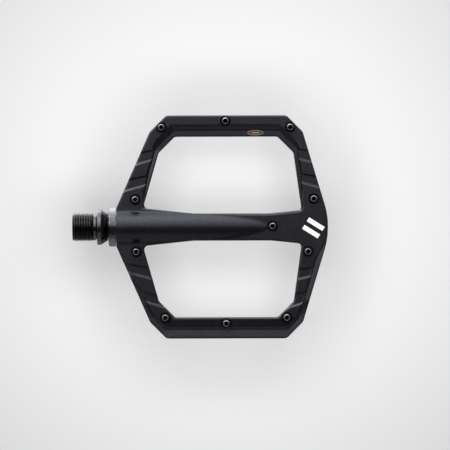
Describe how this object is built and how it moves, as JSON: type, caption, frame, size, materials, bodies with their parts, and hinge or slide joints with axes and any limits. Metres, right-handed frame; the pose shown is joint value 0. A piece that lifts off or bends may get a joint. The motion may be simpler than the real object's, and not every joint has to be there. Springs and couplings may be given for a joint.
{
  "type": "bicycle flat pedal",
  "caption": "Two-sided open-cage flat pedal with short traction pins, turning on a threaded spindle through a plain bushing and cartridge bearings.",
  "frame": {"origin": "on the spindle's axis, midway along the overall length, which is the centre of the bounding box", "axes": "+X runs along the spindle from the crank end outwards, +Y points to the cage's front edge, +Z is the normal of tread side A"},
  "size_m": [0.1276, 0.1114, 0.021],
  "materials": {
    "cage": "bead-blasted, black anodised",
    "spindle": "turned, black oxide, semi-gloss",
    "pins": "black oxide grub screws, worn bright at the rim",
    "bearings": "ground bearing steel",
    "bushing": "sintered bronze",
    "seals": "black nitrile rubber",
    "badge": "tan enamel, plain"
  },
  "bodies": {
    "axle": {"spindle": "spindle", "bearing_1_inner_ring": "bearings", "bearing_2_inner_ring": "bearings", "bearing_washer": "bearings", "lock_nut": "bearings"},
    "platform": {"platform_body": "cage", "oval_badge": "badge", "retaining_nut": "spindle", "lip_seal": "seals", "inboard_bushing": "bushing", "spacer_sleeve": "bearings", "bearing_1_outer_ring": "bearings", "bearing_1_seal_inboard": "seals", "bearing_1_seal_outboard": "seals", "bearing_2_outer_ring": "bearings", "bearing_2_seal_inboard": "seals", "bearing_2_seal_outboard": "seals", "pin_a_01": "pins", "pin_a_02": "pins", "pin_a_03": "pins", "pin_a_04": "pins", "pin_a_05": "pins", "pin_a_06": "pins", "pin_a_07": "pins", "pin_a_08": "pins", "pin_a_09": "pins", "pin_a_10": "pins", "pin_a_11": "pins", "pin_b_01": "pins", "pin_b_02": "pins", "pin_b_03": "pins", "pin_b_04": "pins", "pin_b_05": "pins", "pin_b_06": "pins", "pin_b_07": "pins", "pin_b_08": "pins", "pin_b_09": "pins", "pin_b_10": "pins", "pin_b_11": "pins"},
    "ball_set_1": {"bearing_1_balls": "bearings"},
    "ball_set_2": {"bearing_2_balls": "bearings"}
  },
  "joints": [
    {"name": "platform_spin", "type": "hinge", "parent": "axle", "child": "platform", "pos_m": [0, 0, 0], "axis": [1, 0, 0], "continuous": true},
    {"name": "ball_set_1_roll", "type": "hinge", "parent": "axle", "child": "ball_set_1", "pos_m": [0.002, 0, 0], "axis": [1, 0, 0], "continuous": true},
    {"name": "ball_set_2_roll", "type": "hinge", "parent": "axle", "child": "ball_set_2", "pos_m": [0.0063, 0, 0], "axis": [1, 0, 0], "continuous": true}
  ],
  "couplings": [
    {"joint": "ball_set_1_roll", "follows": "platform_spin", "ratio": 0.5889},
    {"joint": "ball_set_2_roll", "follows": "platform_spin", "ratio": 0.5889}
  ]
}
